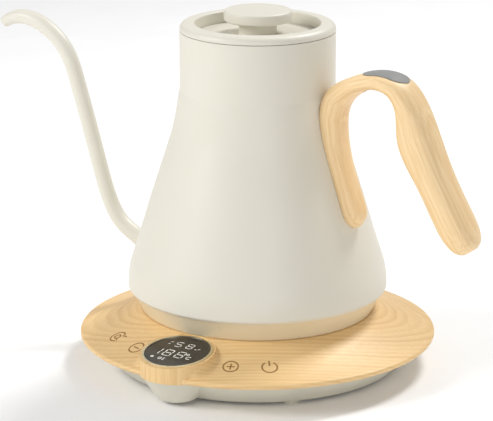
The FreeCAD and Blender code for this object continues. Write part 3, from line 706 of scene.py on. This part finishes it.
# ---------------------------------------------------------------- base
@dataclass
class Base:
    """Heating base: wooden cover, display pod, touch keys, lower shell and what is inside."""

    key_turns: tuple[float, ...] = (-34.8, -20.3, 21.5, 35.7)   # degrees round from the pod
    key_circle_mm: float = 84.4
    sign_line_mm: float = 0.8
    sign_rise_mm: float = 0.05
    sign_sink_mm: float = 0.25
    light_rise_mm: float = 0.05
    light_sink_mm: float = 0.1
    fillet_mm: float = 6.5
    fillet_room_mm: float = 0.5    # less room than this to the brim's edge gets no strip
    fillet_least_mm: float = 0.3   # nor does a strip narrower than this
    fillet_skin_mm: float = 0.03   # how far its edges stand off the wood
    fillet_bury_mm: float = 0.4    # how far its back reaches into the pod's wall
    fillet_sink_mm: float = 0.6    # how far its back reaches under the brim
    brim_edge_mm: float = 1.6      # rounded edge that the strip keeps clear of

    BODY = "base"
    PLAIN = {
        "base_top_cover": "base_wood", "base_lower_shell": "cream_plastic", "base_feet": "foot_rubber",
        "base_screws": "screw_steel", "cord_gland": "black_rubber", "display_bezel": "bezel_brass",
        "display_window": "display_glass", "display_module": "component_black",
        "display_board": "circuit_board", "touch_boards": "circuit_board", "touch_springs": "screw_steel",
        "power_board": "circuit_board", "relay": "component_black", "transformer": "component_black",
        "smoothing_capacitor": "component_black", "buzzer": "component_black",
        "base_connector": "dark_plastic", "base_contacts": "contact_brass",
    }

    def __post_init__(self) -> None:
        """Dress the CAD pieces, and measure the pod and the brim from them."""
        for node, finish in self.PLAIN.items():
            dress(node, finish)
        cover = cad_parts["base_top_cover"].data
        self.brim = BVHTree.FromPolygons([vertex.co for vertex in cover.vertices],
                                         [tuple(face.vertices) for face in cover.polygons])
        low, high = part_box("base_top_cover")
        window_low, window_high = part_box("display_window")
        lean = math.asin(min(1.0, self.window_lean(window_low, window_high)))
        self.window_right = Vector((1, 0, 0))
        self.window_up = Vector((0, math.cos(lean), math.sin(lean)))
        self.window_out = self.window_right.cross(self.window_up)
        middle = (window_low + window_high) / 2
        thickness = self.window_thickness(window_low, window_high, lean)
        self.window_top = middle + self.window_out * thickness / 2
        self.pod_middle = Vector((0, middle.y, 0))
        self.pod_radius = middle.y - low.y
        self.brim_edge = high.x - self.brim_edge_mm * MM

    def window_lean(self, low: Vector, high: Vector) -> float:
        """Sine of the window's lean, found by trying angles until the disc fits its box.

        Args:
            low: the box's low corner.
            high: the box's high corner.

        Returns:
            The sine, or zero when no angle up to 20 degrees fits.
        """
        wide, deep, tall = high - low
        for step in range(400):
            angle = math.radians(step * 0.05)
            if wide * math.cos(angle) + self.disc_thickness(wide, tall, angle) * math.sin(angle) <= deep:
                return math.sin(angle)
        return 0.0

    def disc_thickness(self, wide: float, tall: float, angle: float) -> float:
        """Thickness of a disc that leans by an angle and is this wide and this tall over all."""
        return max(0.0, (tall - wide * math.sin(angle)) / math.cos(angle))

    def window_thickness(self, low: Vector, high: Vector, lean: float) -> float:
        """Thickness of the window."""
        return self.disc_thickness(high.x - low.x, high.z - low.z, lean)

    def on_window(self, across: float, up: float) -> tuple[Vector, Vector]:
        """Place and normal on the window for millimetres right and up from its middle."""
        return self.window_top + (self.window_right * across + self.window_up * up) * MM, self.window_out

    def brim_at(self, x: float, y: float) -> tuple[Vector, Vector]:
        """Place and normal on the cover's top under a point."""
        place, normal, _, _ = self.brim.ray_cast(Vector((x, y, 0.1)), Vector((0, 0, -1)))
        return place, normal if normal.z > 0 else -normal

    def on_key(self, turn: float) -> Surface:
        """Surface of one key, whose up points to the kettle's axis.

        Args:
            turn: the key's place in degrees round from the pod.

        Returns:
            A function from millimetres on the key to a place and a normal.
        """
        angle = math.radians(turn)
        inward = Vector((-math.sin(angle), math.cos(angle)))
        right = Vector((inward.y, -inward.x))

        def surface(across: float, up: float) -> tuple[Vector, Vector]:
            """Place and normal for millimetres across and up on the key."""
            spot = inward * (up - self.key_circle_mm) + right * across
            return self.brim_at(spot.x * MM, spot.y * MM)
        return surface

    def key_signs(self) -> list[tuple[str, list[Stroke]]]:
        """Sign on each key: hold, less, more, power.

        Returns:
            The name and the strokes of each sign, in the keys' order.
        """
        line = self.sign_line_mm
        whole = circle_stroke(4.05, line)
        hold = [circle_stroke(4.1, line, (-0.4, 0), 52, 318), circle_stroke(1.7, line, (-0.4, 0)),
                cut_line((1.5, 2.2), (5.0, 3.3), line), cut_line((1.6, -1.1), (3.0, -2.3), line)]
        less = [whole, cut_line((-2.1, 0), (2.1, 0), line)]
        more = [whole, cut_line((-2.3, 0), (2.3, 0), line), cut_line((0, -2.3), (0, -0.36), line),
                cut_line((0, 0.36), (0, 2.3), line)]
        power = [circle_stroke(4.1, line * 1.1, (0, 0), 124, 416), cut_line((0, 1.0), (0, 4.8), line * 1.1)]
        return [("key_sign_hold", hold), ("key_sign_less", less),
                ("key_sign_more", more), ("key_sign_power", power)]

    def add_key_signs(self) -> None:
        """Lay each key's burnt sign into the brim."""
        for turn, (name, strokes) in zip(self.key_turns, self.key_signs()):
            surface = self.on_key(turn)

            def build(shape: bmesh.types.BMesh) -> None:
                """Lay the strokes of this key."""
                for stroke in strokes:
                    stroke.lay(shape, surface, self.sign_rise_mm, self.sign_sink_mm)
            new_piece(name, self.BODY, "burnt_line", build)

    def add_digits(self) -> None:
        """Lay the lit segments on the window: a timer row over a temperature row."""
        layout = (
            Digits("display_digits_large", "188", (-11.2, -3.9, 3.7), -3.0, 6.7, 4.5, 0.5),
            Digits("display_digits_small", "58", (-3.6, 3.4), 7.6, 4.9, 3.5, 0.4),
        )
        for digits in layout:
            new_piece(digits.name, self.BODY, "led",
                      lambda shape, digits=digits: digits.build(shape, self.on_window, self.light_rise_mm,
                                                                self.light_sink_mm), False)

        def marks(shape: bmesh.types.BMesh) -> None:
            """Small indicator signs round the digits."""
            strokes = [
                circle_stroke(0.62, 0.6, (-9.9, -9.9)), circle_stroke(0.75, 0.36, (7.6, -1.2)),
                circle_stroke(1.35, 0.42, (9.9, -4.6), 40, 320),
                Stroke([(-5.6, -9.3), (-4.2, -9.3), (-4.2, -11.1), (-5.6, -11.1)], 0.36, True),
                cut_line((-3.3, -9.2), (-1.9, -9.2), 0.36), cut_line((-3.3, -10.2), (-2.2, -10.2), 0.36),
                cut_line((-3.3, -11.2), (-1.9, -11.2), 0.36),
                cut_line((-9.6, 8.8), (-8.3, 9.4), 0.4), cut_line((-9.9, 6.4), (-8.9, 6.9), 0.4),
                cut_line((7.4, 5.6), (8.6, 5.6), 0.36), cut_line((9.2, 5.9), (10.2, 7.0), 0.36),
            ]
            for stroke in strokes:
                stroke.lay(shape, self.on_window, self.light_rise_mm, self.light_sink_mm)
        new_piece("display_marks", self.BODY, "led", marks, False)

    def add_pod_fillet(self) -> None:
        """Round the inner corner between the pod's wall and the brim."""
        def build(shape: bmesh.types.BMesh) -> None:
            """Rows of the hollow strip round the pod, from its one end on the brim to the other."""
            rows = []
            for step in range(-66, 67):
                angle = math.radians(step * 2.0)
                outward = Vector((math.sin(angle), -math.cos(angle), 0))
                wall = self.pod_middle + outward * self.pod_radius
                rows.append(self.fillet_row(wall, outward))
            loft(shape, [row for row in rows if row])
        strip = new_piece("pod_fillet", self.BODY, "base_wood", build)
        strip.data.validate()

    def fillet_row(self, wall: Vector, outward: Vector) -> list[Vector]:
        """Section of the strip at one place of the pod's wall: a hollow arc and a buried corner.

        Args:
            wall: the place on the pod's wall, seen from above.
            outward: the wall's direction there.

        Returns:
            The section's points, or none where there is no room for it.
        """
        radial = wall.normalized()
        room = (self.brim_edge - wall.length) / max(0.2, outward.dot(radial))
        reach = min(self.fillet_mm * MM, room)
        if reach < self.fillet_room_mm * MM:
            return []
        bury = outward * self.fillet_bury_mm * MM
        sink = Vector((0, 0, self.fillet_sink_mm * MM))
        skin = self.fillet_skin_mm * MM
        foot, _ = self.brim_at(wall.x + bury.x, wall.y + bury.y)
        rise = self.pod_top_at(wall) - foot.z
        reach = min(reach, rise * 0.75)
        if reach < self.fillet_least_mm * MM:
            return []
        far_spot = wall + outward * reach
        far, normal = self.brim_at(far_spot.x, far_spot.y)
        top = Vector((wall.x, wall.y, foot.z + reach)) + outward * skin
        corner = Vector((wall.x, wall.y, foot.z))
        end = far + normal * skin
        row = []
        for step in range(9):
            share = step / 8
            row.append(top * (1 - share) ** 2 + corner * 2 * share * (1 - share) + end * share ** 2)
        row.append(end - sink)
        row.append(corner - bury - sink)
        row.append(top - bury)
        return row

    def pod_top_at(self, place: Vector) -> float:
        """Height of the pod's leaning top over a place."""
        away = place.y - self.window_top.y
        return self.window_top.z + away * self.window_up.z / self.window_up.y

    def build(self) -> None:
        """Dress the pod's wall and add the fine pieces."""
        middle = self.pod_middle
        reach = self.pod_radius * 1.02

        def pod_wall(centre: Vector, normal: Vector) -> bool:
            """Whether a face belongs to the pod's upright wall."""
            return abs(normal.z) < 0.3 and (centre.xy - middle.xy).length < reach and centre.z > 0.015
        dress_faces("base_top_cover", "pod_wood", pod_wall)
        self.add_key_signs()
        self.add_digits()
        self.add_pod_fillet()


# Segments that each digit lights: a to f clockwise from the top, g across the middle
LIT_SEGMENTS = {
    "0": "abcdef", "1": "bc", "2": "abged", "3": "abgcd", "4": "fgbc",
    "5": "afgcd", "6": "afgedc", "7": "abc", "8": "abcdefg", "9": "abcdfg",
}


@dataclass
class Digits:
    """Row of seven-segment digits, in millimetres on the window."""

    name: str
    text: str
    places: tuple[float, ...]
    level: float
    height: float
    width: float
    line: float
    slant: float = 0.09

    def segment(self, letter: str) -> tuple[tuple[float, float], tuple[float, float]]:
        """Ends of one segment about the digit's middle.

        Args:
            letter: the segment's letter.

        Returns:
            Its two ends.
        """
        side, top = self.width / 2, self.height / 2
        gap = self.line * 0.85
        ends = {
            "a": ((-side + gap, top), (side - gap, top)), "g": ((-side + gap, 0), (side - gap, 0)),
            "d": ((-side + gap, -top), (side - gap, -top)), "b": ((side, gap), (side, top - gap)),
            "c": ((side, -top + gap), (side, -gap)), "f": ((-side, gap), (-side, top - gap)),
            "e": ((-side, -top + gap), (-side, -gap)),
        }
        return ends[letter]

    def build(self, shape: bmesh.types.BMesh, surface: Surface, rise_mm: float, sink_mm: float) -> None:
        """Add every lit segment to a mesh.

        Args:
            shape: the mesh to add to.
            surface: the window.
            rise_mm: how far a segment stands above it.
            sink_mm: how far a segment's sides reach under it.
        """
        for digit, place in zip(self.text, self.places):
            for letter in LIT_SEGMENTS[digit]:
                ends = []
                for across, up in self.segment(letter):
                    ends.append((place + across + up * self.slant, self.level + up))
                cut_line(ends[0], ends[1], self.line, 2).lay(shape, surface, rise_mm, sink_mm)


# ---------------------------------------------------------------- kettle
@dataclass
class Kettle:
    """Kettle: flared body, spout, rim, foot ring, heater and cordless socket."""

    bare_from_mm: float = 20.0     # unpainted inside starts this far from the axis
    bare_up_to_mm: float = 188.5   # and ends under the rim

    PLAIN = {
        "kettle_body": "cream_enamel", "spout": "cream_enamel", "rim_collar": "cream_enamel",
        "base_ring": "ring_lacquer", "heater_plate": "spun_steel", "heating_element": "screw_steel",
        "thermal_cutouts": "component_black", "temperature_probe": "screw_steel",
        "probe_seal": "clear_silicone", "bottom_cover": "dark_plastic",
        "bottom_cover_screws": "screw_steel", "socket_retainer": "dark_plastic",
        "retainer_screws": "screw_steel", "handle_inserts": "contact_brass", "handle_seals": "clear_silicone",
        "handle_screws": "screw_steel", "handle_pad": "grey_pad", "connector_socket": "dark_plastic",
        "socket_contacts": "contact_brass",
    }

    def build(self) -> None:
        """Dress the CAD pieces, bare the steel inside and add the handle with its grain."""
        for node, finish in self.PLAIN.items():
            dress(node, finish)

        def inside_body(centre: Vector, normal: Vector) -> bool:
            """Whether a face looks to the axis: the unpainted inside."""
            outward = Vector((centre.x, centre.y, 0))
            looks_in = normal.dot(outward) < -0.2 * outward.length
            below_rim = centre.z < self.bare_up_to_mm * MM
            return outward.length > self.bare_from_mm * MM and looks_in and below_rim
        dress_faces("kettle_body", "spun_steel", inside_body)
        Handle().build()


@dataclass
class Handle:
    """Wooden crook: the CAD form with a grain that follows the bend."""

    # Middle line of the crook from the root by the body to the tip of the grip: x and z in mm
    line_mm: tuple[tuple[float, float], ...] = (
        (64, 84), (62.4, 92.4), (57, 108), (53, 120), (49.6, 134), (48.4, 147.5), (51.6, 157.6),
        (62, 165.8), (76.5, 170.3), (88.6, 167.2), (96, 156.8), (100.3, 141.8), (110.2, 121.5),
        (121, 102.2), (134, 80))

    BODY = "kettle"

    def grain_place(self, place: Vector) -> tuple[float, float, float]:
        """Where a point lies in the grain.

        Args:
            place: the point in the model's frame.

        Returns:
            Its length along the crook, its sideways and its outward distance, all in metres.
        """
        best = (1e9, 0.0, 0.0)
        run = 0.0
        for first, last in zip(self.line_mm, self.line_mm[1:]):
            start, stop = Vector(first) * MM, Vector(last) * MM
            step = stop - start
            share = (Vector((place.x, place.z)) - start).dot(step) / step.length_squared
            share = min(1.0, max(0.0, share))
            gap = Vector((place.x, place.z)) - start - step * share
            side = step.x * gap.y - step.y * gap.x
            if gap.length < best[0]:
                best = (gap.length, run + step.length * share, math.copysign(gap.length, side))
            run += step.length
        return best[1], place.y, best[2]

    def build(self) -> None:
        """Copy the CAD handle, give it its grain and let it stand for the node."""
        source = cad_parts["handle"]
        mesh = source.data.copy()
        mesh.name = "handle_crook"
        shape = bmesh.new()
        shape.from_mesh(mesh)
        bmesh.ops.remove_doubles(shape, verts=shape.verts, dist=1e-6)
        shape.to_mesh(mesh)
        shape.free()
        grain = mesh.attributes.new("grain", "FLOAT_VECTOR", "POINT")
        for vertex in mesh.vertices:
            grain.data[vertex.index].vector = self.grain_place(vertex.co)
        mesh.materials.clear()
        mesh.materials.append(FINISHES.get("handle_wood"))
        for face in mesh.polygons:
            face.material_index = 0
        shade(mesh, 40)
        crook = bpy.data.objects.new("handle_crook", mesh)
        bpy.context.scene.collection.objects.link(crook)
        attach(crook, self.BODY)
        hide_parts("handle")
        LOG.info("handle_crook stands for the handle and rides on %s", self.BODY)


# ---------------------------------------------------------------- lid
class Lid:
    """Lid with its sunk plate, knob and inner pan."""

    PLAIN = {"lid_plate": "cream_enamel", "lid_knob": "cream_enamel", "lid_inner_pan": "spun_steel",
             "lid_seal": "clear_silicone", "lid_screw": "screw_steel"}

    def build(self) -> None:
        """Dress the lid's pieces."""
        for node, finish in self.PLAIN.items():
            dress(node, finish)


# ---------------------------------------------------------------- studio
LAMP_AIM = Vector((0.0, 0.0, 0.08))


@dataclass
class Softbox:
    """Area lamp that faces the middle of the kettle, in metres and watts."""

    name: str
    place: tuple[float, float, float]
    size: tuple[float, float]
    power: float

    def build(self) -> None:
        """Add the lamp to the scene."""
        lamp = bpy.data.lights.new(self.name, "AREA")
        lamp.shape = "RECTANGLE"
        lamp.size, lamp.size_y = self.size
        lamp.energy = self.power
        holder = bpy.data.objects.new(self.name, lamp)
        holder.location = self.place
        direction = LAMP_AIM - Vector(self.place)
        holder.rotation_euler = direction.to_track_quat("-Z", "Y").to_euler()
        bpy.context.scene.collection.objects.link(holder)


@dataclass
class Studio:
    """White sweep, soft lamps and the camera."""

    surround_strength: float = 0.45
    floor_half: float = 6.0
    lens_mm: float = 182.7
    sensor_mm: float = 36.0
    camera_turn: float = 31.5      # degrees from straight in front towards the handle
    camera_height: float = 16.0    # degrees above the table
    camera_reach: float = 1.399
    camera_aim: tuple[float, float, float] = (-0.0053, -0.0032, 0.0865)
    lamps: list[Softbox] = field(default_factory=lambda: [
        Softbox("key_left", (-0.95, -1.1, 0.95), (0.7, 0.7), 14.0),
        Softbox("overhead_back", (0.22, 0.9, 1.35), (0.4, 0.4), 15.0),
        Softbox("front_fill", (1.15, -1.15, 0.45), (0.8, 0.6), 4.0),
    ])

    def floor(self) -> None:
        """Wide pale floor."""
        side = self.floor_half
        mesh = bpy.data.meshes.new("floor")
        shape = bmesh.new()
        corners = [(-side, -side, 0), (side, -side, 0), (side, side, 0), (-side, side, 0)]
        shape.faces.new([shape.verts.new(corner) for corner in corners])
        shape.to_mesh(mesh)
        shape.free()
        material, tree, shader = new_material("white_sweep", Roughness=0.9, Specular_IOR_Level=0.1)
        paper = noise(tree, object_place(tree), 60.0, 3)
        colour = blend_colours(tree, soft_steps(tree, paper, 0.3, 0.7), linear("fbfbfb"), linear("f9f9f9"))
        tree.links.new(colour, shader.inputs["Base Color"])
        mesh.materials.append(material)
        floor = bpy.data.objects.new("floor", mesh)
        bpy.context.scene.collection.objects.link(floor)

    def world(self) -> None:
        """Even white surroundings."""
        world = bpy.data.worlds.new("studio_white")
        world.use_nodes = True
        tree = world.node_tree
        tree.nodes.clear()
        back = add_node(tree, "ShaderNodeBackground", {},
                        {"Color": linear("ffffff"), "Strength": self.surround_strength})
        add_node(tree, "ShaderNodeOutputWorld", {}, {"Surface": back.outputs[0]})
        bpy.context.scene.world = world

    def camera(self) -> None:
        """Long-lens camera to the right of the pod, a little above the rim."""
        lens = bpy.data.cameras.new("camera")
        lens.lens = self.lens_mm
        lens.sensor_width = self.sensor_mm
        holder = bpy.data.objects.new("camera", lens)
        turn, height = math.radians(self.camera_turn), math.radians(self.camera_height)
        level = math.cos(height)
        back = Vector((math.sin(turn) * level, -math.cos(turn) * level, math.sin(height)))
        holder.location = Vector(self.camera_aim) + back * self.camera_reach
        holder.rotation_euler = (-back).to_track_quat("-Z", "Y").to_euler()
        bpy.context.scene.collection.objects.link(holder)
        bpy.context.scene.camera = holder

    def build(self) -> None:
        """Set up the whole studio."""
        self.floor()
        self.world()
        for lamp in self.lamps:
            lamp.build()
        self.camera()
        bpy.context.scene.view_settings.view_transform = "Standard"


def main() -> None:
    """Dress the kettle, add its fine pieces and set up the studio."""
    Base().build()
    Kettle().build()
    Lid().build()
    Studio().build()


if __name__ == "__main__":
    main()
